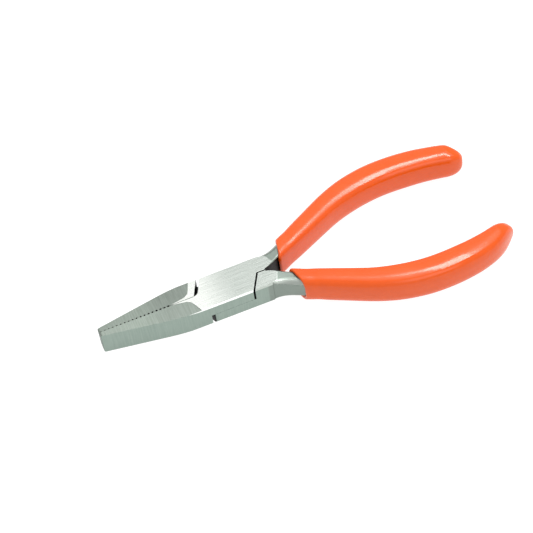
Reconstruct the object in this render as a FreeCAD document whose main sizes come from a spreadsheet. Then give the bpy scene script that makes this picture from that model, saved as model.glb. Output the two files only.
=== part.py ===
"""Flat nose pliers for jewellery work: two forged halves in a lap joint, a flush rivet and two dipped grips.

The origin is on the pivot axis, at the flat underside of the joint. +Z points up out of the joint, +X runs
towards the handles, and the jaws lie along -X. The top half carries the upper cheek of the joint, the jaw at
-Y and the handle at +Y; the bottom half is the same forging turned over about X. Every piece is drawn about
the middle plane of the joint, and its Placement lifts it by half the joint's thickness. Sizes are in
millimetres and degrees.
"""
import FreeCAD
import Part
import Sketcher
import math
import os

SIZES = {
    "joint_thickness": (7.8, "both cheeks together, along Z"),
    "joint_half_width": (6.4, "middle of the joint to its straight outer edge"),
    "lap_clearance": (0.05, "gap between the two cheeks"),
    "jaw_clearance": (0.04, "gap between the closed jaw faces"),
    "edge_bevel": (0.42, "bevel on the outer edges of the joint, run out along the jaws' flanks"),
    "jaw_length": (41.4, "pivot axis to the jaw tips"),
    "tip_half_width": (1.6, "width of one jaw at its tip"),
    "tip_edge_radius": (0.6, "rounding of a jaw's upper and lower edges at its tip"),
    "parting_bevel": (0.12, "fine bevel beside the closed parting line"),
    "parting_bevel_start": (10.7, "pivot axis to the rear end of that bevel"),
    "flank_corner": (15.2, "where the tapered flank would meet the joint's outer edge"),
    "flank_radius": (66.0, "arc that joins the flank to the outer edge"),
    "jaw_shoulder_edge": (7.6, "jaw shoulder, at the outer edge"),
    "jaw_shoulder_middle": (10.6, "jaw shoulder, at the parting line"),
    "cheek_front_edge": (6.55, "front of a cheek, at the outer edge"),
    "cheek_front_middle": (9.27, "front of a cheek, at the parting line"),
    "cheek_front_radius": (2.2, "hollow between a cheek's front and its jaw face"),
    "cheek_corner_bevel": (0.45, "bevel on the upright corner at a cheek's front"),
    "cheek_rear_edge": (6.45, "rear of a cheek, at the outer edge"),
    "cheek_rear_middle": (10.05, "rear of a cheek, at the parting line"),
    "handle_shoulder_edge": (7.1, "handle shoulder, at the outer edge"),
    "handle_shoulder_middle": (10.45, "handle shoulder, at the parting line"),
    "notch_offset": (0.2, "parting line to a handle root's inner wall"),
    "block_end": (12.9, "rear end of the joint's straight outer edge"),
    "relief_depth": (0.03, "grinding depth of a jaw's flat at the parting line"),
    "relief_tilt": (1.7, "slope of the ground jaw flat, in degrees"),
    "relief_start": (9.8, "rear end of the ground jaw flat, at the outer edge"),
    "relief_side_x": (11.2, "polished flat's curved edge, first point, from the pivot axis"),
    "relief_side_y": (3.7, "the same point, from the parting line"),
    "relief_knee_x": (12.0, "curved edge, second point, from the pivot axis"),
    "relief_knee_y": (1.9, "the same point, from the parting line"),
    "relief_neck_x": (13.4, "curved edge, third point, from the pivot axis"),
    "relief_neck_y": (0.95, "the same point, from the parting line"),
    "relief_tongue": (18.4, "tip of the polished tongue along the parting line"),
    "tooth_count": (18, "grooves in each jaw face"),
    "first_tooth": (18.9, "pivot axis to the first groove"),
    "tooth_pitch": (1.285, "groove to groove"),
    "tooth_width": (0.92, "width of the first groove"),
    "tooth_depth": (0.38, "depth of the first groove"),
    "tooth_fade": (0.55, "angle that makes the grooves shallower towards the tip"),
    "rivet_radius": (2.6, "shank of the pivot rivet"),
    "rivet_head_radius": (3.3, "countersunk rivet head, at the joint's flat"),
    "rivet_head_depth": (0.9, "depth of the countersink"),
    "rivet_clearance": (0.03, "running clearance of the rivet in the bottom half"),
    "root_x": (10.8, "centre of the handle's root, inside the joint"),
    "root_y": (3.2, "parting line to the centre of the handle's root"),
    "neck_x": (14.15, "centre of the neck between joint and shank"),
    "neck_y": (3.74, "parting line to the centre of the neck"),
    "neck_angle": (18.0, "slope of the neck"),
    "shank_angle": (27.5, "slope of the straight shank"),
    "shank_reach": (24.1, "bend back to the front of the straight shank"),
    "mouth_reach": (19.8, "bend back to the section at the grip's mouth"),
    "grip_reach": (26.6, "bend back to the grip's front before its mouth is cut"),
    "apex_x": (62.6, "pivot axis to the widest point of the handles, along X"),
    "apex_y": (22.2, "parting line to a handle's centre line at its widest"),
    "front_radius": (52.0, "centre line arc in front of the widest point"),
    "rear_radius": (75.0, "centre line arc behind the widest point"),
    "tang_end_angle": (12.5, "slope at the end of the steel tang"),
    "grip_end_angle": (19.95, "slope at the end of the grip"),
    "grip_wall": (1.15, "thickness of the dipped grip"),
    "nose_back_angle": (16.2, "slope of the last full section before the grip's nose"),
    "nose_start_angle": (17.9, "slope where the grip's rounded nose begins"),
    "nose_angle": (19.25, "slope part way round the nose"),
    "nose_inset": (0.7, "how far the nose has closed in there"),
    "nose_tip_inset": (2.0, "how far the nose has closed in at the grip's end"),
    "nose_slant_x": (84.6, "a point on the slanting cut across the nose's outer corner, along X"),
    "nose_slant_y": (22.5, "the same point, from the parting line"),
    "nose_slant_angle": (45.0, "lean of that cut from the X axis"),
    "nose_slant_half": (9.0, "half the length of that cut, along X"),
    "mouth_inner": (17.9, "mouth of the top half's grip, at the parting line"),
    "mouth_slope": (14.0, "lean of a grip's mouth"),
    "mouth_setback": (0.9, "how much further back the bottom half's grip starts"),
}

# Steel sections of a handle: half width, half height, inner corner radius, outer corner radius.
SECTION_COLUMNS = ("half_width", "half_height", "inner_radius", "outer_radius")
SECTIONS = {
    "root": (2.75, 4.6, 0.4, 0.4),
    "neck": (2.66, 4.0, 0.5, 1.0),
    "shank": (2.37, 3.75, 0.6, 1.9),
    "mouth": (2.4, 3.65, 1.0, 2.1),
    "bend": (3.05, 3.85, 1.8, 2.2),
    "front": (3.55, 4.05, 2.2, 2.4),
    "apex": (3.7, 4.1, 2.2, 2.4),
    "rear": (3.55, 4.1, 2.2, 2.4),
    "tang_end": (3.25, 4.0, 2.2, 2.4),
}


def make_sheet(doc):
    """Puts every driving size in a spreadsheet, each under its own alias."""
    rows = dict(SIZES)
    for name, values in SECTIONS.items():
        for column, value in zip(SECTION_COLUMNS, values):
            rows[f"{name}_{column}"] = (value, f"handle section: {name} {column}")
    sheet = doc.addObject("Spreadsheet::Sheet", "Sizes")
    for row, (alias, (value, meaning)) in enumerate(rows.items(), start=1):
        sheet.set(f"A{row}", meaning)
        sheet.set(f"B{row}", str(value))
        sheet.setAlias(f"B{row}", alias)
    doc.recompute()
    return sheet


def straight_place(reach):
    """Centre and slope of a section on the straight shank, a distance in front of the bend."""
    angle = "Sizes.shank_angle"
    x = f"Sizes.apex_x - Sizes.front_radius * sin({angle}) - {reach} * cos({angle})"
    y = f"Sizes.apex_y - Sizes.front_radius * (1 - cos({angle})) - {reach} * sin({angle})"
    return x, y, angle


def arc_place(radius, angle):
    """Centre and slope of a section on an arc through the handle's widest point."""
    x = f"Sizes.apex_x - {radius} * sin({angle})"
    y = f"Sizes.apex_y - {radius} * (1 - cos({angle}))"
    return x, y, angle


# Where the handle's sections stand: centre and slope.
PLACES = {
    "root": ("Sizes.root_x", "Sizes.root_y", "0"),
    "neck": ("Sizes.neck_x", "Sizes.neck_y", "Sizes.neck_angle"),
    "shank": straight_place("Sizes.shank_reach"),
    "mouth": straight_place("Sizes.mouth_reach"),
    "straight_1": straight_place("(Sizes.mouth_reach * 2 / 3)"),
    "straight_2": straight_place("(Sizes.mouth_reach / 3)"),
    "bend": straight_place("0"),
    "front_1": arc_place("Sizes.front_radius", "(Sizes.shank_angle * 3 / 4)"),
    "front_2": arc_place("Sizes.front_radius", "(Sizes.shank_angle / 2)"),
    "front_3": arc_place("Sizes.front_radius", "(Sizes.shank_angle / 4)"),
    "apex": arc_place("Sizes.front_radius", "0"),
    "rear_1": arc_place("Sizes.rear_radius", "(-Sizes.tang_end_angle / 4)"),
    "rear_2": arc_place("Sizes.rear_radius", "(-Sizes.tang_end_angle / 2)"),
    "rear_3": arc_place("Sizes.rear_radius", "(-Sizes.tang_end_angle * 3 / 4)"),
    "tang_end": arc_place("Sizes.rear_radius", "(-Sizes.tang_end_angle)"),
    "grip_start": straight_place("Sizes.grip_reach"),
    "nose_back": arc_place("Sizes.rear_radius", "(-Sizes.nose_back_angle)"),
    "nose_start": arc_place("Sizes.rear_radius", "(-Sizes.nose_start_angle)"),
    "nose": arc_place("Sizes.rear_radius", "(-Sizes.nose_angle)"),
    "grip_end": arc_place("Sizes.rear_radius", "(-Sizes.grip_end_angle)"),
}

# A loft is a list of stations: the place, the steel sections whose mean is used there, and its growth.
SPAN = [
    ("mouth", ("mouth",)),
    ("straight_1", ("mouth", "mouth", "bend")),
    ("straight_2", ("mouth", "bend", "bend")),
    ("bend", ("bend",)),
    ("front_1", ("bend", "front")),
    ("front_2", ("front",)),
    ("front_3", ("front", "apex")),
    ("apex", ("apex",)),
    ("rear_1", ("apex", "rear")),
    ("rear_2", ("rear",)),
    ("rear_3", ("rear", "tang_end")),
]
WALL = "Sizes.grip_wall"
HANDLE = [(place, (place,), "0") for place in ("root", "neck", "shank")]
HANDLE += [(place, sections, "0") for place, sections in SPAN]
HANDLE += [("tang_end", ("tang_end",), "0")]
GRIP = [("grip_start", ("shank",), WALL)]
GRIP += [(place, sections, WALL) for place, sections in SPAN]
GRIP += [
    ("nose_back", ("tang_end",), WALL),
    ("nose_start", ("tang_end",), WALL),
    ("nose", ("tang_end",), f"{WALL} - Sizes.nose_inset"),
    ("grip_end", ("tang_end",), f"{WALL} - Sizes.nose_tip_inset"),
]


def origin_plane(body, role):
    """One of the body's own origin planes."""
    return next(item for item in body.Origin.OriginFeatures if item.Role == role)


def new_sketch(body, name, role):
    """An empty sketch flat on one of the body's origin planes."""
    sketch = body.newObject("Sketcher::SketchObject", name)
    sketch.AttachmentSupport = [(origin_plane(body, role), "")]
    sketch.MapMode = "FlatFace"
    return sketch


def drive(sketch, kind, items, start_value, expression):
    """Adds a dimension to a sketch and binds it to an expression."""
    number = sketch.addConstraint(Sketcher.Constraint(kind, *items, start_value))
    name = f"size{number}"
    sketch.renameConstraint(number, name)
    sketch.setExpression(f"Constraints.{name}", expression)


def draw_polygon(sketch, corners):
    """A closed outline through corners given as pairs of expressions."""
    first = sketch.GeometryCount
    count = len(corners)
    turn = 2 * math.pi / count
    ring = [FreeCAD.Vector(math.cos(turn * i), math.sin(turn * i), 0) for i in range(count)]
    for i in range(count):
        sketch.addGeometry(Part.LineSegment(ring[i], ring[(i + 1) % count]), False)
    for i in range(count):
        following = first + (i + 1) % count
        sketch.addConstraint(Sketcher.Constraint("Coincident", first + i, 2, following, 1))
    for i, (x, y) in enumerate(corners):
        drive(sketch, "DistanceX", (-1, 1, first + i, 1), ring[i].x, x)
        drive(sketch, "DistanceY", (-1, 1, first + i, 1), ring[i].y, y)


def draw_section(sketch, half_width, half_height, inner_radius, outer_radius):
    """A rounded rectangle whose +X side is the handle's outer side, from expressions."""
    corner = 0.5
    side = 2.0
    line = Part.LineSegment
    point = FreeCAD.Vector
    for number in range(4):
        spin = FreeCAD.Rotation(point(0, 0, 1), 90 * number)
        start = spin.multVec(point(side, corner - side, 0))
        end = spin.multVec(point(side, side - corner, 0))
        middle = spin.multVec(point(side - corner, side - corner, 0))
        circle = Part.Circle(middle, point(0, 0, 1), corner)
        quarter = math.pi / 2
        sketch.addGeometry(line(start, end), False)
        sketch.addGeometry(Part.ArcOfCircle(circle, quarter * number, quarter * (number + 1)), False)
    for number in range(8):
        sketch.addConstraint(Sketcher.Constraint("Tangent", number, 2, (number + 1) % 8, 1))
    for number, kind in ((0, "Vertical"), (2, "Horizontal"), (4, "Vertical"), (6, "Horizontal")):
        sketch.addConstraint(Sketcher.Constraint(kind, number))
    drive(sketch, "DistanceX", (-1, 1, 0, 1), side, half_width)
    drive(sketch, "DistanceX", (-1, 1, 4, 1), -side, f"-({half_width})")
    drive(sketch, "DistanceY", (-1, 1, 2, 1), side, half_height)
    drive(sketch, "DistanceY", (-1, 1, 6, 1), -side, f"-({half_height})")
    for number, radius in ((1, outer_radius), (3, inner_radius), (5, inner_radius), (7, outer_radius)):
        drive(sketch, "Radius", (number,), corner, radius)


def handle_section(body, name, place, sections, growth):
    """A section sketch across the handle: the mean of the named sections, grown on every side."""
    x, y, angle = PLACES[place]
    sketch = new_sketch(body, name, "YZ_Plane")
    upright = FreeCAD.Rotation(FreeCAD.Vector(0, 1, 0), 1)
    sketch.AttachmentOffset = FreeCAD.Placement(FreeCAD.Vector(0, 0, 0), upright)
    sketch.setExpression("AttachmentOffset.Base.x", y)
    sketch.setExpression("AttachmentOffset.Base.z", x)
    sketch.setExpression("AttachmentOffset.Rotation.Angle", angle)
    sizes = []
    for column in SECTION_COLUMNS:
        total = " + ".join(f"Sizes.{section}_{column}" for section in sections)
        sizes.append(f"({total}) / {len(sections)} + {growth}")
    draw_section(sketch, *sizes)
    return sketch


def handle_loft(body, kind, name, stations):
    """A smooth loft through handle sections."""
    sketches = [handle_section(body, f"{name}_{station[0]}", *station) for station in stations]
    loft = body.newObject(kind, name)
    loft.Profile = sketches[0]
    loft.Sections = sketches[1:]
    return loft


def pad(body, name, sketch, length):
    """A pad to both sides of its sketch."""
    feature = body.newObject("PartDesign::Pad", name)
    feature.Profile = sketch
    feature.SideType = "Symmetric"
    feature.setExpression("Length", length)
    return feature


def pocket_through(body, name, sketch):
    """A pocket right through, to both sides of its sketch."""
    feature = body.newObject("PartDesign::Pocket", name)
    feature.Profile = sketch
    feature.SideType = "Symmetric"
    feature.Type = "ThroughAll"
    return feature


def pocket_upward(body, name, sketch, length):
    """A pocket from its sketch towards +Z."""
    feature = body.newObject("PartDesign::Pocket", name)
    feature.Profile = sketch
    feature.Reversed = True
    feature.setExpression("Length", length)
    return feature


def edge_names(feature, wanted):
    """Names of the feature's edges whose middle point and direction pass the test."""
    names = []
    for number, edge in enumerate(feature.Shape.Edges, start=1):
        middle = edge.valueAt((edge.FirstParameter + edge.LastParameter) / 2)
        rise = abs(edge.Vertexes[0].Z - edge.Vertexes[-1].Z)
        if wanted(middle, rise):
            names.append(f"Edge{number}")
    return names


def dress(body, kind, name, base, edges, size_name, size):
    """A fillet or chamfer on the named edges of a feature."""
    feature = body.newObject(kind, name)
    feature.Base = (base, edges)
    feature.setExpression(size_name, size)
    body.Document.recompute()
    return feature


def upright_edges(sheet, x, y):
    """A test for the full-height edge that stands at one corner of the plan."""
    def wanted(middle, rise):
        return rise > sheet.lap_clearance and math.hypot(middle.x - x, middle.y - y) < 0.01
    return wanted


def make_blank(body, sheet):
    """The joint, the jaw and the handle's root as one plate, with its bevelled edges."""
    gap = "Sizes.jaw_clearance / 2"
    outline = new_sketch(body, "BlankOutline", "XY_Plane")
    draw_polygon(outline, [
        ("-Sizes.jaw_length", f"-{gap}"),
        ("-Sizes.jaw_length", "-Sizes.tip_half_width"),
        ("-Sizes.flank_corner", "-Sizes.joint_half_width"),
        ("Sizes.cheek_rear_edge", "-Sizes.joint_half_width"),
        ("Sizes.cheek_rear_middle", "Sizes.notch_offset"),
        ("Sizes.block_end", "Sizes.notch_offset"),
        ("Sizes.block_end", "Sizes.joint_half_width"),
        ("-Sizes.cheek_front_edge", "Sizes.joint_half_width"),
        ("-Sizes.cheek_front_middle", f"-{gap}"),
    ])
    blank = pad(body, "Blank", outline, "Sizes.joint_thickness")
    body.Document.recompute()

    half_width = sheet.joint_half_width
    corner = edge_names(blank, upright_edges(sheet, -sheet.flank_corner, -half_width))
    flank = dress(body, "PartDesign::Fillet", "FlankArc", blank, corner, "Radius", "Sizes.flank_radius")
    corner = edge_names(flank, upright_edges(sheet, -sheet.cheek_front_middle, -sheet.jaw_clearance / 2))
    radius = "Sizes.cheek_front_radius"
    hollow = dress(body, "PartDesign::Fillet", "CheekHollow", flank, corner, "Radius", radius)
    corner = edge_names(hollow, upright_edges(sheet, -sheet.cheek_front_edge, half_width))
    dress(body, "PartDesign::Chamfer", "CheekCorner", hollow, corner, "Size", "Sizes.cheek_corner_bevel")


def corner_triangle(sketch, across, upward, y, z, bevel):
    """A triangle that bevels the corner at (y, z); across and upward are the signs of its outside."""
    beyond = f"2 * {bevel}"
    draw_polygon(sketch, [
        (f"{across}({y} + {bevel})", f"{upward}({z} - {beyond})"),
        (f"{across}({y} + {bevel})", f"{upward}({z} + {bevel})"),
        (f"{across}({y} - {beyond})", f"{upward}({z} + {bevel})"),
    ])


def bevel_rims(body):
    """Bevels the joint's four long edges with straight cuts that run out on the curved flanks."""
    sketch = new_sketch(body, "RimOutline", "YZ_Plane")
    for across in ("", "-"):
        for upward in ("", "-"):
            corner_triangle(sketch, across, upward, "Sizes.joint_half_width", "Sizes.joint_thickness / 2",
                            "Sizes.edge_bevel")
    return pocket_through(body, "RimBevel", sketch)


def bevel_parting_line(body):
    """A fine bevel on the jaw's two edges along the parting line, from the joint to the tip."""
    sketch = new_sketch(body, "PartingOutline", "YZ_Plane")
    sketch.setExpression("AttachmentOffset.Base.z", "-Sizes.parting_bevel_start")
    for upward in ("", "-"):
        corner_triangle(sketch, "", upward, "-Sizes.jaw_clearance / 2", "Sizes.joint_thickness / 2",
                        "Sizes.parting_bevel")
    feature = body.newObject("PartDesign::Pocket", "PartingBevel")
    feature.Profile = sketch
    feature.Type = "ThroughAll"
    return feature


def round_tip(body, sheet):
    """Rounds the upper and lower edges of the jaw's end."""
    base = body.Tip

    def end_edge(middle, rise):
        return middle.x < 0.01 - sheet.jaw_length and abs(middle.z) > sheet.joint_thickness / 4

    edges = edge_names(base, end_edge)
    return dress(body, "PartDesign::Fillet", "TipRounding", base, edges, "Radius", "Sizes.tip_edge_radius")


def grind_faces(body):
    """Cuts the handle's root level with the joint's flats."""
    sketch = new_sketch(body, "FlatsOutline", "XZ_Plane")
    flat = "Sizes.joint_thickness / 2"
    beyond = "Sizes.joint_thickness"
    for sign in ("", "-"):
        draw_polygon(sketch, [
            ("Sizes.handle_shoulder_middle", f"{sign}{flat}"),
            ("Sizes.apex_x / 2", f"{sign}{flat}"),
            ("Sizes.apex_x / 2", f"{sign}{beyond}"),
            ("Sizes.handle_shoulder_middle", f"{sign}{beyond}"),
        ])
    return pocket_through(body, "GroundFlats", sketch)


def cut_lap(body):
    """Removes the lower cheek, which the other half fills, between the jaw and handle shoulders."""
    sketch = new_sketch(body, "LapOutline", "XY_Plane")
    sketch.setExpression("AttachmentOffset.Base.z", "Sizes.lap_clearance / 2")
    edge = "Sizes.joint_half_width"
    beyond = "(Sizes.joint_half_width + 1)"
    draw_polygon(sketch, [
        ("-Sizes.jaw_shoulder_middle", beyond),
        ("-Sizes.jaw_shoulder_middle", "0"),
        ("-Sizes.jaw_shoulder_edge", f"-{edge}"),
        ("-Sizes.jaw_shoulder_edge", f"-{beyond}"),
        ("Sizes.handle_shoulder_middle", f"-{beyond}"),
        ("Sizes.handle_shoulder_middle", "Sizes.notch_offset"),
        ("Sizes.handle_shoulder_edge", edge),
        ("Sizes.handle_shoulder_edge", beyond),
    ])
    lap = body.newObject("PartDesign::Pocket", "Lap")
    lap.Profile = sketch
    lap.setExpression("Length", "Sizes.joint_thickness")
    return lap


def grind_jaw(body):
    """Grinds the jaw's upper and lower flats a little below the joint's, sloping to the outer edge."""
    sketch = new_sketch(body, "ReliefOutline", "XY_Plane")
    tilted = FreeCAD.Rotation(FreeCAD.Vector(1, 0, 0), 1)
    sketch.AttachmentOffset = FreeCAD.Placement(FreeCAD.Vector(), tilted)
    sketch.setExpression("AttachmentOffset.Base.z", "Sizes.joint_thickness / 2 - Sizes.relief_depth")
    sketch.setExpression("AttachmentOffset.Rotation.Angle", "Sizes.relief_tilt")
    edge = "(Sizes.joint_half_width + 1)"
    draw_polygon(sketch, [
        ("-Sizes.jaw_length - 1", f"-{edge}"),
        ("-Sizes.relief_start", f"-{edge}"),
        ("-Sizes.relief_side_x", "-Sizes.relief_side_y"),
        ("-Sizes.relief_knee_x", "-Sizes.relief_knee_y"),
        ("-Sizes.relief_neck_x", "-Sizes.relief_neck_y"),
        ("-Sizes.relief_tongue", "0"),
        ("-Sizes.jaw_length - 1", "1"),
    ])
    relief = pocket_upward(body, "UpperRelief", sketch, "Sizes.joint_thickness")
    body.Document.recompute()
    mirrored = body.newObject("PartDesign::Mirrored", "LowerRelief")
    mirrored.Originals = [relief]
    mirrored.MirrorPlane = (origin_plane(body, "XY_Plane"), [""])
    body.Tip = mirrored
    body.Document.recompute()
    return mirrored


def cut_teeth(body):
    """V grooves across the jaw face, a little shallower towards the tip."""
    sketch = new_sketch(body, "ToothOutline", "XY_Plane")
    turned = FreeCAD.Rotation(FreeCAD.Vector(0, 0, 1), 1)
    sketch.AttachmentOffset = FreeCAD.Placement(FreeCAD.Vector(), turned)
    sketch.setExpression("AttachmentOffset.Base.x", "-Sizes.first_tooth")
    sketch.setExpression("AttachmentOffset.Base.y", "-Sizes.jaw_clearance / 2")
    sketch.setExpression("AttachmentOffset.Rotation.Angle", "180 - Sizes.tooth_fade")
    # The sketch's +X runs to the tip here, and its +Y into the jaw.
    slope = "Sizes.tooth_width / 2 / Sizes.tooth_depth"
    above = "Sizes.tooth_depth"
    draw_polygon(sketch, [
        ("0", "Sizes.tooth_depth"),
        (f"-({slope}) * (Sizes.tooth_depth + {above})", f"-{above}"),
        (f"({slope}) * (Sizes.tooth_depth + {above})", f"-{above}"),
    ])
    groove = pocket_through(body, "FirstTooth", sketch)
    body.Document.recompute()
    row = body.newObject("PartDesign::LinearPattern", "Teeth")
    row.Originals = [groove]
    row.Direction = (sketch, ["H_Axis"])
    row.setExpression("Length", "Sizes.tooth_pitch * (Sizes.tooth_count - 1)")
    row.setExpression("Occurrences", "Sizes.tooth_count")
    body.Tip = row
    body.Document.recompute()
    return row


def rivet_profile(sketch, growth, bottom):
    """The upper half of the rivet's outline, from a height to its flush head, grown by a clearance."""
    top = "Sizes.joint_thickness / 2"
    draw_polygon(sketch, [
        ("0", bottom),
        (f"Sizes.rivet_radius + {growth}", bottom),
        (f"Sizes.rivet_radius + {growth}", f"{top} - Sizes.rivet_head_depth"),
        (f"Sizes.rivet_head_radius + {growth}", top),
        ("0", top),
    ])


def cut_rivet_hole(body, growth):
    """The countersunk rivet hole in the cheek."""
    sketch = new_sketch(body, "RivetHoleOutline", "XZ_Plane")
    rivet_profile(sketch, growth, "-Sizes.lap_clearance")
    groove = body.newObject("PartDesign::Groove", "RivetHole")
    groove.Profile = sketch
    groove.ReferenceAxis = (origin_plane(body, "Z_Axis"), [""])
    groove.Angle = 360
    return groove


def place(item, turned_over):
    """Lifts a piece to the joint's underside, and turns the bottom half's pieces over about X."""
    turn = FreeCAD.Rotation(FreeCAD.Vector(1, 0, 0), 180 if turned_over else 0)
    item.Placement = FreeCAD.Placement(FreeCAD.Vector(0, 0, 0), turn)
    item.setExpression("Placement.Base.z", "Sizes.joint_thickness / 2")


def make_half(doc, sheet, label, rivet_growth, turned_over):
    """One forged half: cheek, jaw, shank and tang."""
    body = doc.addObject("PartDesign::Body", label)
    make_blank(body, sheet)
    bevel_rims(body)
    handle_loft(body, "PartDesign::AdditiveLoft", "Handle", HANDLE)
    doc.recompute()
    grind_faces(body)
    cut_lap(body)
    doc.recompute()
    grind_jaw(body)
    round_tip(body, sheet)
    bevel_parting_line(body)
    doc.recompute()
    cut_teeth(body)
    cut_rivet_hole(body, rivet_growth)
    place(body, turned_over)
    return body


def make_rivet(doc):
    """The pivot rivet, with a flush countersunk head at each end."""
    body = doc.addObject("PartDesign::Body", "pivot_rivet")
    sketch = new_sketch(body, "RivetOutline", "XZ_Plane")
    rivet_profile(sketch, "0", "0")
    upper = body.newObject("PartDesign::Revolution", "UpperRivet")
    upper.Profile = sketch
    upper.ReferenceAxis = (origin_plane(body, "Z_Axis"), [""])
    upper.Angle = 360
    doc.recompute()
    whole = body.newObject("PartDesign::Mirrored", "WholeRivet")
    whole.Originals = [upper]
    whole.MirrorPlane = (origin_plane(body, "XY_Plane"), [""])
    body.Tip = whole
    place(body, False)
    return body


def slant_nose(body):
    """Cuts the nose's outer corner away at a slant."""
    outline = new_sketch(body, "SlantOutline", "XY_Plane")
    half = "Sizes.nose_slant_half"
    rise = f"{half} * tan(Sizes.nose_slant_angle)"
    draw_polygon(outline, [
        (f"Sizes.nose_slant_x - {half}", f"Sizes.nose_slant_y + {rise}"),
        (f"Sizes.nose_slant_x + {half}", f"Sizes.nose_slant_y - {rise}"),
        (f"Sizes.nose_slant_x + {half}", f"Sizes.nose_slant_y + {rise}"),
    ])
    return pocket_through(body, "NoseSlant", outline)


def make_grip(doc, label, setback, turned_over):
    """A dipped grip: a closed sleeve over the tang, open at its leaning mouth."""
    body = doc.addObject("PartDesign::Body", label)
    handle_loft(body, "PartDesign::AdditiveLoft", "Skin", GRIP)
    handle_loft(body, "PartDesign::SubtractiveLoft", "TangSpace", HANDLE)
    doc.recompute()
    mouth = new_sketch(body, "MouthOutline", "XY_Plane")
    start = f"Sizes.mouth_inner + {setback}"
    reach = "Sizes.apex_y"
    draw_polygon(mouth, [
        ("0", "-1"),
        (f"{start} - tan(Sizes.mouth_slope)", "-1"),
        (f"{start} + {reach} * tan(Sizes.mouth_slope)", reach),
        ("0", reach),
    ])
    pocket_through(body, "Mouth", mouth)
    slant_nose(body)
    place(body, turned_over)
    return body


def check(doc, nodes):
    """Stops if any object failed or any sub-part is not one valid solid."""
    for item in doc.Objects:
        if "Invalid" in item.State or "Error" in item.State:
            raise RuntimeError(f"{item.Name} failed: {item.State}")
    for node in nodes:
        if node.Shape.isNull() or not node.Shape.isValid() or len(node.Shape.Solids) != 1:
            raise RuntimeError(f"{node.Label} is not one valid solid")


def main():
    doc = FreeCAD.newDocument("flat_nose_pliers")
    sheet = make_sheet(doc)
    nodes = [
        make_half(doc, sheet, "top_half", "0", False),
        make_half(doc, sheet, "bottom_half", "Sizes.rivet_clearance", True),
        make_rivet(doc),
        make_grip(doc, "top_half_grip", "0", False),
        make_grip(doc, "bottom_half_grip", "Sizes.mouth_setback", True),
    ]
    doc.recompute()
    check(doc, nodes)
    os.makedirs("parts", exist_ok=True)
    for node in nodes:
        node.Shape.exportStep(f"parts/{node.Label}.step")
        box = node.Shape.BoundBox
        print(f"{node.Label}: {node.Shape.Volume:.1f} mm3, X {box.XMin:.2f} to {box.XMax:.2f}, "
              f"Y {box.YMin:.2f} to {box.YMax:.2f}, Z {box.ZMin:.2f} to {box.ZMax:.2f}")


main()
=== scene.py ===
"""The looks of the flat nose pliers: grips as fine meshes, procedural materials, floor, lights, camera.

Lengths are millimetres unless a comment says otherwise, turned into Blender's metres by MM where they are
used. The handles' centre line and the grips' sections are the CAD model's, repeated here because the grips
are meshes of their own.
"""
import math

import bpy
from mathutils import Matrix, Vector, noise


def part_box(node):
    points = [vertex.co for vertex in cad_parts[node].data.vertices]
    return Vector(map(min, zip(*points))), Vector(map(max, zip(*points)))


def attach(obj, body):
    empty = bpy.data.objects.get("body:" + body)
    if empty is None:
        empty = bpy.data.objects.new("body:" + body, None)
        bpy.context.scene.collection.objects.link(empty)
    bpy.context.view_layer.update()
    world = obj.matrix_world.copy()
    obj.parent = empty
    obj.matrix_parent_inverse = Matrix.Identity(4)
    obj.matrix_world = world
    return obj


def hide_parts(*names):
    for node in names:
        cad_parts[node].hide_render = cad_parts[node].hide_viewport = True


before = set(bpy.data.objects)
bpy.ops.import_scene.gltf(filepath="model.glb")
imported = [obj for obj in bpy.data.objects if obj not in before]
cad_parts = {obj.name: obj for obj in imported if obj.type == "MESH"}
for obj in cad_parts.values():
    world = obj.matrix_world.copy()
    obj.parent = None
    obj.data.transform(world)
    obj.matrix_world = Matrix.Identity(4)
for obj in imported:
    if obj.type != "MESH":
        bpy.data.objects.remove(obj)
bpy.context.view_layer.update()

MM = 0.001
JOINT_THICKNESS = 7.8
MIDDLE = JOINT_THICKNESS / 2

# ---------------------------------------------------------------- the grips

# Centre line of a handle, about the middle plane of the joint. A "reach" is a distance behind its bend.
APEX = (62.6, 22.2)
FRONT_RADIUS = 52.0
REAR_RADIUS = 75.0
SHANK_ANGLE = math.radians(27.5)
FRONT_ARC = FRONT_RADIUS * SHANK_ANGLE

# The tang's sections: reach, half width, half height, inner and outer corner radius.
TANG = [
    (-26.0, 2.37, 3.75, 0.6, 1.9),
    (-19.8, 2.40, 3.65, 1.0, 2.1),
    (0.0, 3.05, 3.85, 1.8, 2.2),
    (12.5, 3.55, 4.05, 2.2, 2.4),
    (25.0, 3.70, 4.10, 2.2, 2.4),
    (34.0, 3.55, 4.10, 2.2, 2.4),
    (42.5, 3.28, 4.02, 2.2, 2.4),
    (60.0, 3.10, 3.95, 2.2, 2.4),
]
# Where the space for the tang ends, the skin's clearance round the tang, and the grip's thickness.
TANG_END = 41.35
TANG_CLEARANCE = 0.02
WALL = 1.15

# How square the skin's section is: reach, power of its outer and of its inner side.
SQUARENESS = [(-20.0, 2.8, 4.3), (0.0, 2.9, 3.4), (18.0, 3.1, 3.1), (35.0, 3.1, 3.1), (50.0, 2.8, 2.8)]

# The leaning mouth: where it crosses the parting line, its lean, how far back the lower grip's is, a reach
# near its middle, the reaches that it lies between, and how often that range is halved to find it.
MOUTH_INNER = 17.9
MOUTH_SLOPE = math.tan(math.radians(14.0))
MOUTH_SETBACK = 0.9
MOUTH_MIDDLE = -18.0
MOUTH_RANGE = (-30.0, -5.0)
MOUTH_HALVINGS = 30
LIP_LENGTH = 0.6

# Square rings are spread from here to the nose; the leaning ones turn square over their first third.
SQUARE_START = -6.0
SQUARING_RATE = 3

# The skin's length from lip to nose, and a shallow hollow behind the lip: its depth, place and width.
SKIN_LENGTH = 60.0
HOLLOW_DEPTH = 0.09
HOLLOW_PLACE = 3.2
HOLLOW_WIDTH = 1.3

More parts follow.
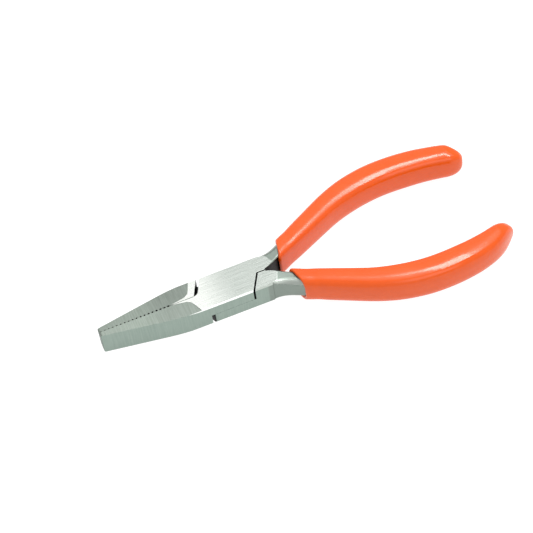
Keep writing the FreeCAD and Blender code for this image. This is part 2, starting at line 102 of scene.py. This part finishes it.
# The unevenness of dipping: its depth, its feature size, its share at the front, the reach where it is full,
# and the length behind the lip over which it sets in.
WOBBLE = 0.05
WOBBLE_SIZE = 6.0
WOBBLE_AT_FRONT = 0.3
WOBBLE_FULL = 30.0
WOBBLE_FADE_IN = 5.0

# The nose, with the slant across its outer side as a start, a steepness and a softness.
NOSE_START = 41.0
GRIP_END = 51.15
UPPER_SLANT = (46.2, 0.82, 0.8)
LOWER_SLANT = (43.5, 0.48, 5.0)
# How the nose rounds in elsewhere, as a start and the depth at its end.
INNER_CLOSING = (45.3, 3.1)
HEIGHT_CLOSING = (45.0, 4.0)

# How finely a grip is meshed, and how much of a section's half size a corner's radius may take.
CORNER_STEPS = 14
SIDE_STEPS = 8
INNER_RINGS = 60
LIP_RINGS = 9
SKIN_RINGS = 230
NOSE_RINGS = 60
CORNER_ROOM = 0.999


def centre_line(reach):
    """Centre and slope of the handle's centre line."""
    if reach < 0:
        x = APEX[0] - FRONT_RADIUS * math.sin(SHANK_ANGLE) + reach * math.cos(SHANK_ANGLE)
        y = APEX[1] - FRONT_RADIUS * (1 - math.cos(SHANK_ANGLE)) + reach * math.sin(SHANK_ANGLE)
        return x, y, SHANK_ANGLE
    radius = FRONT_RADIUS if reach < FRONT_ARC else REAR_RADIUS
    angle = (FRONT_ARC - reach) / radius
    return APEX[0] - radius * math.sin(angle), APEX[1] - radius * (1 - math.cos(angle)), angle


def ease(share):
    """Smooth step from 0 to 1."""
    share = min(max(share, 0.0), 1.0)
    return share * share * (3 - 2 * share)


def between(table, reach):
    """A table's values at a reach, on a smooth curve through its rows."""
    last = len(table) - 1
    reach = min(max(reach, table[0][0]), table[last][0])
    row = next(number for number in range(last) if reach <= table[number + 1][0])
    length = table[row + 1][0] - table[row][0]
    share = (reach - table[row][0]) / length

    def climb(number, column):
        before = table[max(number - 1, 0)]
        after = table[min(number + 1, last)]
        return (after[column] - before[column]) / (after[0] - before[0]) * length

    values = []
    for column in range(1, len(table[row])):
        a, b = table[row][column], table[row + 1][column]
        start, end = climb(row, column), climb(row + 1, column)
        square = 3 * (b - a) - 2 * start - end
        cube = 2 * (a - b) + start + end
        values.append(a + share * (start + share * (square + share * cube)))
    return values


def outline(right, left, top, outer, inner):
    """Points round a section, from its outer side over the top; +u is outward, radii at the corners."""
    room = min(top, (right - left) / 2) * CORNER_ROOM
    outer = min(outer, room)
    inner = min(inner, room)
    corners = [
        (right - outer, top - outer, outer),
        (left + inner, top - inner, inner),
        (left + inner, inner - top, inner),
        (right - outer, outer - top, outer),
    ]
    points = []
    for quarter, (u, z, radius) in enumerate(corners):
        for step in range(CORNER_STEPS + 1):
            angle = math.pi / 2 * (quarter + step / CORNER_STEPS)
            points.append((u + radius * math.cos(angle), z + radius * math.sin(angle)))
        next_u, next_z, next_radius = corners[(quarter + 1) % 4]
        last_u, last_z = points[-1]
        end_u = next_u + next_radius * math.cos(angle)
        end_z = next_z + next_radius * math.sin(angle)
        for step in range(1, SIDE_STEPS):
            share = step / SIDE_STEPS
            points.append((last_u + (end_u - last_u) * share, last_z + (end_z - last_z) * share))
    return points


def closing(reach, start, depth):
    """How far a side has rounded in along the nose: a quarter ellipse from its start to the end."""
    share = min(max((reach - start) / (GRIP_END - start), 0.0), 1.0)
    return depth * (1 - math.sqrt(max(1 - share * share, 0.0)))


def slanting(reach, start, steepness, softness):
    """How far the outer side has closed in along its slant, with a soft start."""
    along = reach - start
    return steepness / 2 * (along + math.hypot(along, softness))


def skin_ring(reach, growth, slant):
    """One ring of a grip in the handle's section plane, at a thickness over the tang."""
    width, height, inner, outer = between(TANG, reach)
    right = width + growth - slanting(reach, *slant)
    left = closing(reach, *INNER_CLOSING) - width - growth
    top = height + growth - closing(reach, *HEIGHT_CLOSING)
    outer_power, inner_power = between(SQUARENESS, reach)
    middle = (right + left) / 2
    half = (right - left) / 2
    points = []
    for u, z in outline(right, left, top, outer + growth, inner + growth):
        power = outer_power if u > middle else inner_power
        distance = (abs((u - middle) / half) ** power + abs(z / top) ** power) ** (1 / power)
        stretch = 1 + (1 / distance - 1) * growth / WALL
        points.append((middle + (u - middle) * stretch, z * stretch))
    return points


def in_space(reach, u, z):
    """A point of the handle's section plane, in the half's own frame."""
    x, y, angle = centre_line(reach)
    return Vector((x - u * math.sin(angle), y + u * math.cos(angle), z))


def mouth_reach(u, setback):
    """Where the fibre at a distance outside the centre line meets the leaning mouth."""
    low, high = MOUTH_RANGE
    for _ in range(MOUTH_HALVINGS):
        middle = (low + high) / 2
        point = in_space(middle, u, 0)
        if point.x < MOUTH_INNER + setback + MOUTH_SLOPE * point.y:
            low = middle
        else:
            high = middle
    return (low + high) / 2


def fibre_reach(share, start):
    """Spreads the skin's rings from the leaning mouth to square sections along the handle."""
    square = SQUARE_START + (NOSE_START - SQUARE_START) * share
    slanted = start + (NOSE_START - start) * share
    return slanted + (square - slanted) * ease(share * SQUARING_RATE)


def wobbled(reach, u, z):
    """A point of the skin, sunk a little by the slow unevenness of dipping, more so towards the end."""
    point = in_space(reach, u, z)
    amount = WOBBLE * (WOBBLE_AT_FRONT + (1 - WOBBLE_AT_FRONT) * ease(reach / WOBBLE_FULL))
    sink = amount * (1 + noise.noise(point / WOBBLE_SIZE)) / math.hypot(u, z)
    return in_space(reach, u * (1 - sink), z * (1 - sink))


def grip_rings(setback, slant):
    """All the rings of a grip, from the end of its inner wall, round the lip, to the tip of its nose."""
    starts = [mouth_reach(u, setback) for u, _ in skin_ring(MOUTH_MIDDLE, WALL / 2, slant)]
    rings = []

    def add(place, point_at):
        """Adds a ring; place turns a fibre's start into its reach and growth."""
        ring = []
        for number, start in enumerate(starts):
            reach, growth = place(start)
            u, z = skin_ring(reach, growth, slant)[number]
            ring.append(point_at(reach, u, z))
        rings.append(ring)

    for step in range(INNER_RINGS):
        share = 1 - step / INNER_RINGS

        def inner_wall(start):
            lip = start + LIP_LENGTH
            return lip + (TANG_END - lip) * share, TANG_CLEARANCE

        add(inner_wall, in_space)
    for step in range(LIP_RINGS + 1):
        turn = math.pi * step / LIP_RINGS
        across = TANG_CLEARANCE + (WALL - TANG_CLEARANCE) * (1 - math.cos(turn)) / 2
        add(lambda start: (start + LIP_LENGTH * (1 - math.sin(turn)), across), in_space)
    for step in range(1, SKIN_RINGS + 1):
        share = step / SKIN_RINGS
        along = share * SKIN_LENGTH
        hollow = HOLLOW_DEPTH * math.exp(-((along - HOLLOW_PLACE) / HOLLOW_WIDTH) ** 2)
        settled = ease(along / WOBBLE_FADE_IN)
        add(lambda start: (fibre_reach(share, start + LIP_LENGTH), WALL - hollow),
            lambda *place: in_space(*place).lerp(wobbled(*place), settled))
    for step in range(1, NOSE_RINGS + 1):
        turn = math.pi / 2 * step / NOSE_RINGS
        add(lambda start: (NOSE_START + (GRIP_END - NOSE_START) * math.sin(turn), WALL), wobbled)
    return rings


def closed_mesh(rings):
    """Points and faces of a closed tube through the rings, with a fan over each end."""
    count = len(rings[0])
    points = [point for ring in rings for point in ring]
    faces = []
    for ring in range(len(rings) - 1):
        for number in range(count):
            a, b = ring * count + number, ring * count + (number + 1) % count
            faces.append((b, a, a + count, b + count))
    for ring, flip in ((0, False), (len(rings) - 1, True)):
        points.append(sum(rings[ring], Vector()) / count)
        hub = len(points) - 1
        for number in range(count):
            a, b = ring * count + number, ring * count + (number + 1) % count
            faces.append((hub, b, a) if flip else (hub, a, b))
    return points, faces


def make_grip(name, body, node, setback, slant, turned_over):
    """A dipped grip as one closed mesh, shown in place of its CAD node, which it hides."""
    points, faces = closed_mesh(grip_rings(setback, slant))
    side = -1 if turned_over else 1
    shown = [Vector((point.x, side * point.y, side * point.z + MIDDLE)) * MM for point in points]
    mesh = bpy.data.meshes.new(name)
    mesh.from_pydata(shown, [], faces)
    mesh.shade_smooth()
    mesh.update()
    grip = bpy.data.objects.new(name, mesh)
    bpy.context.scene.collection.objects.link(grip)
    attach(grip, body)
    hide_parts(node)
    return grip


# ---------------------------------------------------------------- shader nodes


def feed(tree, socket, value):
    """Sets an input to a value, or links it to another node's output."""
    if isinstance(value, bpy.types.NodeSocket):
        tree.links.new(value, socket)
    else:
        socket.default_value = value


def add_node(tree, kind, settings=None, **inputs):
    """A shader node with its settings and inputs; an input's name has underscores for its spaces."""
    item = tree.nodes.new(kind)
    for key, value in (settings or {}).items():
        setattr(item, key, value)
    for key, value in inputs.items():
        feed(tree, item.inputs[key.replace("_", " ")], value)
    return item


def calc(tree, operation, *values):
    """A Math node's output."""
    item = tree.nodes.new("ShaderNodeMath")
    item.operation = operation
    for socket, value in zip(item.inputs, values):
        feed(tree, socket, value)
    return item.outputs[0]


def times(tree, first, *others):
    """The product of some values."""
    for other in others:
        first = calc(tree, "MULTIPLY", first, other)
    return first


def largest(tree, first, *others):
    """The largest of some values."""
    for other in others:
        first = calc(tree, "MAXIMUM", first, other)
    return first


def ramp(tree, value, low, high):
    """A smooth 0 to 1 step of a value between two limits."""
    item = add_node(tree, "ShaderNodeMapRange", {"interpolation_type": "SMOOTHSTEP", "clamp": True},
                    Value=value, From_Min=low, From_Max=high, To_Min=0.0, To_Max=1.0)
    return item.outputs["Result"]


def step_at(tree, length, start, end):
    """A smooth 0 to 1 step of a length between two places; it falls where the end is below the start."""
    return ramp(tree, length, start * MM, end * MM)


def blend_colour(tree, share, first, second):
    """A mix of two colours by a share."""
    item = tree.nodes.new("ShaderNodeMix")
    item.data_type = "RGBA"
    sockets = [socket for socket in item.inputs if socket.enabled]
    for socket, value in zip(sockets, (share, first, second)):
        feed(tree, socket, value)
    return next(socket for socket in item.outputs if socket.enabled)


def blend_value(tree, share, first, second):
    """A mix of two numbers by a share."""
    item = add_node(tree, "ShaderNodeMapRange", {"clamp": False},
                    Value=share, From_Min=0.0, From_Max=1.0, To_Min=first, To_Max=second)
    return item.outputs["Result"]


def streaks(tree, position, scale, detail):
    """Noise stretched by a scale per axis, in features per metre."""
    mapped = add_node(tree, "ShaderNodeMapping", Vector=position, Scale=scale)
    item = add_node(tree, "ShaderNodeTexNoise", Vector=mapped.outputs[0], Scale=1.0, Detail=detail,
                    Roughness=0.6)
    return item.outputs["Fac"]


def new_material(name):
    """An empty node material and its tree, shader and object coordinates."""
    material = bpy.data.materials.new(name)
    material.use_nodes = True
    tree = material.node_tree
    shader = tree.nodes["Principled BSDF"]
    position = add_node(tree, "ShaderNodeTexCoord").outputs["Object"]
    return material, tree, shader, position


# ---------------------------------------------------------------- materials

# The steel's finishes and painted light: colour in the depth of the grinding lines and on their crests. The
# jaw tops darken towards the rear as painted shade, and the flats fall from a near-white painted reflection
# at the front to painted shade at the rear.
FINISHES_AND_PAINTED_LIGHT = {
    "jaw_front": ((0.155, 0.19, 0.16, 1), (0.37, 0.42, 0.375, 1)),
    "jaw_rear_painted_shade": ((0.125, 0.15, 0.13, 1), (0.295, 0.335, 0.30, 1)),
    "side": ((0.19, 0.25, 0.215, 1), (0.33, 0.40, 0.355, 1)),
    "shank": ((0.175, 0.21, 0.185, 1), (0.245, 0.285, 0.255, 1)),
    "flat_front_painted_reflection": ((0.66, 0.71, 0.65, 1), (1.0, 1.0, 0.98, 1)),
    "flat_rear_painted_shade": ((0.35, 0.39, 0.36, 1), (0.64, 0.68, 0.64, 1)),
}
# Painted highlights: near white on the bevelled edges round the joint and jaws, dimmer on the shanks'
# rounded outer corners.
BEVEL_HIGHLIGHT_COLOUR = (0.90, 0.92, 0.90, 1)
SHANK_EDGE_HIGHLIGHT_COLOUR = (0.42, 0.46, 0.42, 1)
CLOUD_COLOUR = (0.5, 0.55, 0.5, 1)
CLOUD_SHARE = 0.12
# Near black, used as painted shade on hidden side walls, in grooves and on the lap, and to darken the
# shanks' inner walls; then the share of it laid on the jaws' end faces.
PAINTED_SHADE_COLOUR = (0.02, 0.02, 0.02, 1)
END_FACE_DARKENING = 0.45
GROUND_ROUGHNESS = 0.42
POLISHED_ROUGHNESS = 0.28
LINE_ROUGHNESS = 0.12

# A shank's side is its inner wall where it lies inside this line: its slope, and its offset at the pivot.
INNER_WALL_SLOPE = 0.45
INNER_WALL_OFFSET = 2.63
# How the line where the shanks' finish starts leans forward, away from the parting line.
SHANK_LEAN = 0.25


def dark_places(tree, x, across, height, rise, side):
    """How much the steel is darkened: painted shade on hidden side walls, in grooves and on the lap, and a
    darkening of the shanks' inner walls and the jaws' end faces.
    """
    inside = times(tree, step_at(tree, across, 6.3, 6.1),
                   step_at(tree, calc(tree, "ABSOLUTE", x), 13.2, 12.9))
    groove = times(tree, step_at(tree, across, 0.05, 0.08), step_at(tree, x, -17.4, -17.6),
                   step_at(tree, across, 0.36, 0.34))
    hidden = times(tree, side, largest(tree, inside, groove))
    lap = times(tree, ramp(tree, rise, 0.7, 0.8), step_at(tree, height, 0.3, 0.2))
    past_wall = calc(tree, "SUBTRACT", times(tree, x, INNER_WALL_SLOPE), INNER_WALL_OFFSET * MM)
    past_wall = calc(tree, "SUBTRACT", past_wall, across)
    inner_wall = times(tree, side, step_at(tree, past_wall, 0.2, 0.8), step_at(tree, x, 12.0, 13.0))
    end_face = times(tree, step_at(tree, x, -41.2, -41.35), END_FACE_DARKENING)
    return largest(tree, hidden, lap, inner_wall, end_face)


def steel_colour(tree, x, across, rise, side, shank, polished, lines):
    """The steel's colour by place, with its painted highlights and painted reflection, before clouds and the
    painted shade.
    """
    tones = {name: blend_colour(tree, lines, *pair) for name, pair in FINISHES_AND_PAINTED_LIGHT.items()}
    # Painted light: the jaw tops darken towards the rear as painted shade, and the flats fall from a painted
    # reflection at the front to painted shade at the rear.
    top = blend_colour(tree, step_at(tree, x, -29.0, -19.0), tones["jaw_front"], tones["jaw_rear_painted_shade"])
    flat = blend_colour(tree, step_at(tree, x, -12.0, 4.0), tones["flat_front_painted_reflection"], tones["flat_rear_painted_shade"])
    # Painted highlight on sloping bevelled faces away from the parting line: near white on the joint, dimmer
    # on the shanks.
    edge_highlight = blend_colour(tree, step_at(tree, x, 6.5, 7.5), BEVEL_HIGHLIGHT_COLOUR, SHANK_EDGE_HIGHLIGHT_COLOUR)
    sloping = calc(tree, "SUBTRACT", ramp(tree, rise, 0.35, 0.5), ramp(tree, rise, 0.9, 0.97))
    bevel_highlight = times(tree, sloping, step_at(tree, across, 3.0, 4.0))
    colour = blend_colour(tree, side, top, tones["side"])
    colour = blend_colour(tree, shank, colour, tones["shank"])
    colour = blend_colour(tree, bevel_highlight, colour, edge_highlight)
    return blend_colour(tree, polished, colour, flat)


def steel_material(name):
    """Ground steel: flats brushed lengthwise, jaws and side walls ground crosswise, satin shanks."""
    material, tree, shader, position = new_material(name)
    x, y, z = add_node(tree, "ShaderNodeSeparateXYZ", Vector=position).outputs
    normal = add_node(tree, "ShaderNodeNewGeometry").outputs["True Normal"]
    facing = add_node(tree, "ShaderNodeSeparateXYZ", Vector=normal)
    rise = calc(tree, "ABSOLUTE", facing.outputs["Z"])
    height = calc(tree, "ABSOLUTE", calc(tree, "SUBTRACT", z, MIDDLE * MM))
    across = calc(tree, "ABSOLUTE", y)

    polished = step_at(tree, height, MIDDLE - 0.022, MIDDLE - 0.012)
    shank = step_at(tree, calc(tree, "ADD", x, times(tree, across, SHANK_LEAN)), 12.6, 13.2)
    side = calc(tree, "SUBTRACT", 1.0, ramp(tree, rise, 0.2, 0.6))

    lengthwise = streaks(tree, position, (110.0, 3600.0, 900.0), 5.0)
    crosswise = streaks(tree, position, (2600.0, 130.0, 130.0), 5.0)
    grain = streaks(tree, position, (5200.0, 5200.0, 5200.0), 3.0)
    clouds = streaks(tree, position, (160.0, 160.0, 160.0), 3.0)
    lines = blend_value(tree, polished, blend_value(tree, shank, crosswise, grain), lengthwise)

    colour = steel_colour(tree, x, across, rise, side, shank, polished, lines)
    colour = blend_colour(tree, times(tree, clouds, CLOUD_SHARE), colour, CLOUD_COLOUR)
    # Painted shade on hidden walls, grooves and the lap, and a darkening of the shanks' inner walls and the
    # jaws' end faces.
    dark = dark_places(tree, x, across, height, rise, side)
    colour = blend_colour(tree, dark, colour, PAINTED_SHADE_COLOUR)
    unevenness = times(tree, calc(tree, "SUBTRACT", lines, 0.5), LINE_ROUGHNESS)
    rough = calc(tree, "ADD", blend_value(tree, polished, GROUND_ROUGHNESS, POLISHED_ROUGHNESS), unevenness)
    bump = add_node(tree, "ShaderNodeBump", Strength=0.4, Distance=0.00004, Height=lines)

    shader.inputs["Metallic"].default_value = 1.0
    feed(tree, shader.inputs["Base Color"], colour)
    feed(tree, shader.inputs["Roughness"], rough)
    feed(tree, shader.inputs["Normal"], bump.outputs["Normal"])
    return material


def vinyl_material(name):
    """Glossy dipped vinyl, slightly mottled, and glossier towards its end."""
    material, tree, shader, position = new_material(name)
    mottle = streaks(tree, position, (420.0, 420.0, 420.0), 2.0)
    colour = blend_colour(tree, mottle, (0.665, 0.076, 0.002, 1), (0.735, 0.092, 0.004, 1))
    along = add_node(tree, "ShaderNodeSeparateXYZ", Vector=position).outputs["X"]
    # The roughness is kept under about 0.27; where it crosses that, a faint line shows.
    rough = blend_value(tree, step_at(tree, along, 48.0, 60.0), 0.20, 0.12)
    rough = calc(tree, "ADD", rough, times(tree, mottle, 0.08))
    runs = streaks(tree, position, (160.0, 520.0, 520.0), 2.0)
    bump = add_node(tree, "ShaderNodeBump", Strength=0.25, Distance=0.0001, Height=runs)
    feed(tree, shader.inputs["Base Color"], colour)
    feed(tree, shader.inputs["Roughness"], rough)
    feed(tree, shader.inputs["Normal"], bump.outputs["Normal"])
    shader.inputs["IOR"].default_value = 1.48
    return material


def floor_material():
    """A plain pale backdrop that glows a little, so that shade on it stays faint."""
    material, tree, shader, position = new_material("pale_floor")
    speckle = streaks(tree, position, (60.0, 60.0, 60.0), 2.0)
    colour = blend_colour(tree, speckle, (0.24, 0.24, 0.24, 1), (0.26, 0.26, 0.26, 1))
    feed(tree, shader.inputs["Base Color"], colour)
    shader.inputs["Roughness"].default_value = 0.9
    shader.inputs["Specular IOR Level"].default_value = 0.0
    shader.inputs["Emission Color"].default_value = (1, 1, 1, 1)
    shader.inputs["Emission Strength"].default_value = 0.92
    return material


def dress(item, material):
    """Gives an object one material, in place of any it had."""
    item.data.materials.clear()
    item.data.materials.append(material)


# ---------------------------------------------------------------- floor, light and camera

GRIP_REST_X = 62.0
FLOOR_HALF = 1500.0

WORLD_STRENGTH = 0.68
LIGHT_AIM = Vector((20.0, 0.0, 4.0))
# Area lights: name, direction, then distance, width and depth in metres, and power.
LIGHTS = [
    ("overhead", (0.30, 0.10, 0.95), 0.75, 0.70, 0.70, 1.6),
    ("glint", (0.34, 0.07, 0.93), 0.9, 0.70, 0.16, 4.8),
    ("behind", (0.1, 0.66, 0.75), 0.9, 0.7, 0.7, 0.45),
    ("front", (0.1, -0.78, 0.60), 0.9, 0.5, 0.5, 1.0),
]

CAMERA_AZIMUTH = math.radians(-15.01)
CAMERA_ELEVATION = math.radians(48.72)
CAMERA_ROLL = math.radians(-9.28)
CAMERA_DISTANCE = 552.0
CAMERA_AIM = Vector((13.77, 0.94, 7.83))
CAMERA_LENS = 121.6
SENSOR_WIDTH = 36.0


def make_floor():
    """A floor through the jaw tips' lower edges and the grips' undersides."""
    grip_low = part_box("top_half_grip")[0].z
    tip_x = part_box("top_half")[0].x
    slope = grip_low / (GRIP_REST_X * MM - tip_x)
    half = FLOOR_HALF * MM
    corners = []
    for x, y in ((-half, -half), (half, -half), (half, half), (-half, half)):
        corners.append((x, y, slope * (x - tip_x)))
    mesh = bpy.data.meshes.new("floor")
    mesh.from_pydata(corners, [], [(0, 1, 2, 3)])
    floor = bpy.data.objects.new("floor", mesh)
    bpy.context.scene.collection.objects.link(floor)
    dress(floor, floor_material())


def softbox(name, direction, distance, width, depth, energy):
    """A rectangular area light that faces the tool from a direction."""
    light = bpy.data.lights.new(name, "AREA")
    light.shape = "RECTANGLE"
    light.size = width
    light.size_y = depth
    light.energy = energy
    item = bpy.data.objects.new(name, light)
    towards = Vector(direction).normalized()
    item.location = towards * distance + LIGHT_AIM * MM
    item.rotation_euler = towards.to_track_quat("Z", "Y").to_euler()
    bpy.context.scene.collection.objects.link(item)


def make_lights():
    """A white room with soft light from above, behind and in front."""
    world = bpy.data.worlds.new("studio")
    world.use_nodes = True
    background = world.node_tree.nodes["Background"]
    background.inputs["Color"].default_value = (1, 1, 1, 1)
    background.inputs["Strength"].default_value = WORLD_STRENGTH
    bpy.context.scene.world = world
    for light in LIGHTS:
        softbox(*light)


def make_camera():
    """A camera at the product view: from the front left, well above, a little rolled."""
    data = bpy.data.cameras.new("camera")
    data.lens = CAMERA_LENS
    data.sensor_width = SENSOR_WIDTH
    camera = bpy.data.objects.new("camera", data)
    spin = Matrix.Rotation(CAMERA_AZIMUTH, 3, "Z") @ Matrix.Rotation(math.pi / 2 - CAMERA_ELEVATION, 3, "X")
    spin = spin @ Matrix.Rotation(CAMERA_ROLL, 3, "Z")
    camera.rotation_euler = spin.to_euler()
    camera.location = (CAMERA_AIM + spin @ Vector((0, 0, CAMERA_DISTANCE))) * MM
    bpy.context.scene.collection.objects.link(camera)
    bpy.context.scene.camera = camera


# ---------------------------------------------------------------- the scene


def main():
    """Dresses the steel, makes the grips and sets the stage."""
    steel = steel_material("ground_steel")
    for name in ("top_half", "bottom_half", "pivot_rivet"):
        dress(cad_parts[name], steel)
    vinyl = vinyl_material("dipped_vinyl")
    upper = make_grip("upper_dipped_grip", "top", "top_half_grip", 0.0, UPPER_SLANT, False)
    lower = make_grip("lower_dipped_grip", "bottom", "bottom_half_grip", MOUTH_SETBACK, LOWER_SLANT, True)
    dress(upper, vinyl)
    dress(lower, vinyl)
    make_floor()
    make_lights()
    make_camera()
    bpy.context.scene.view_settings.view_transform = "Standard"


main()
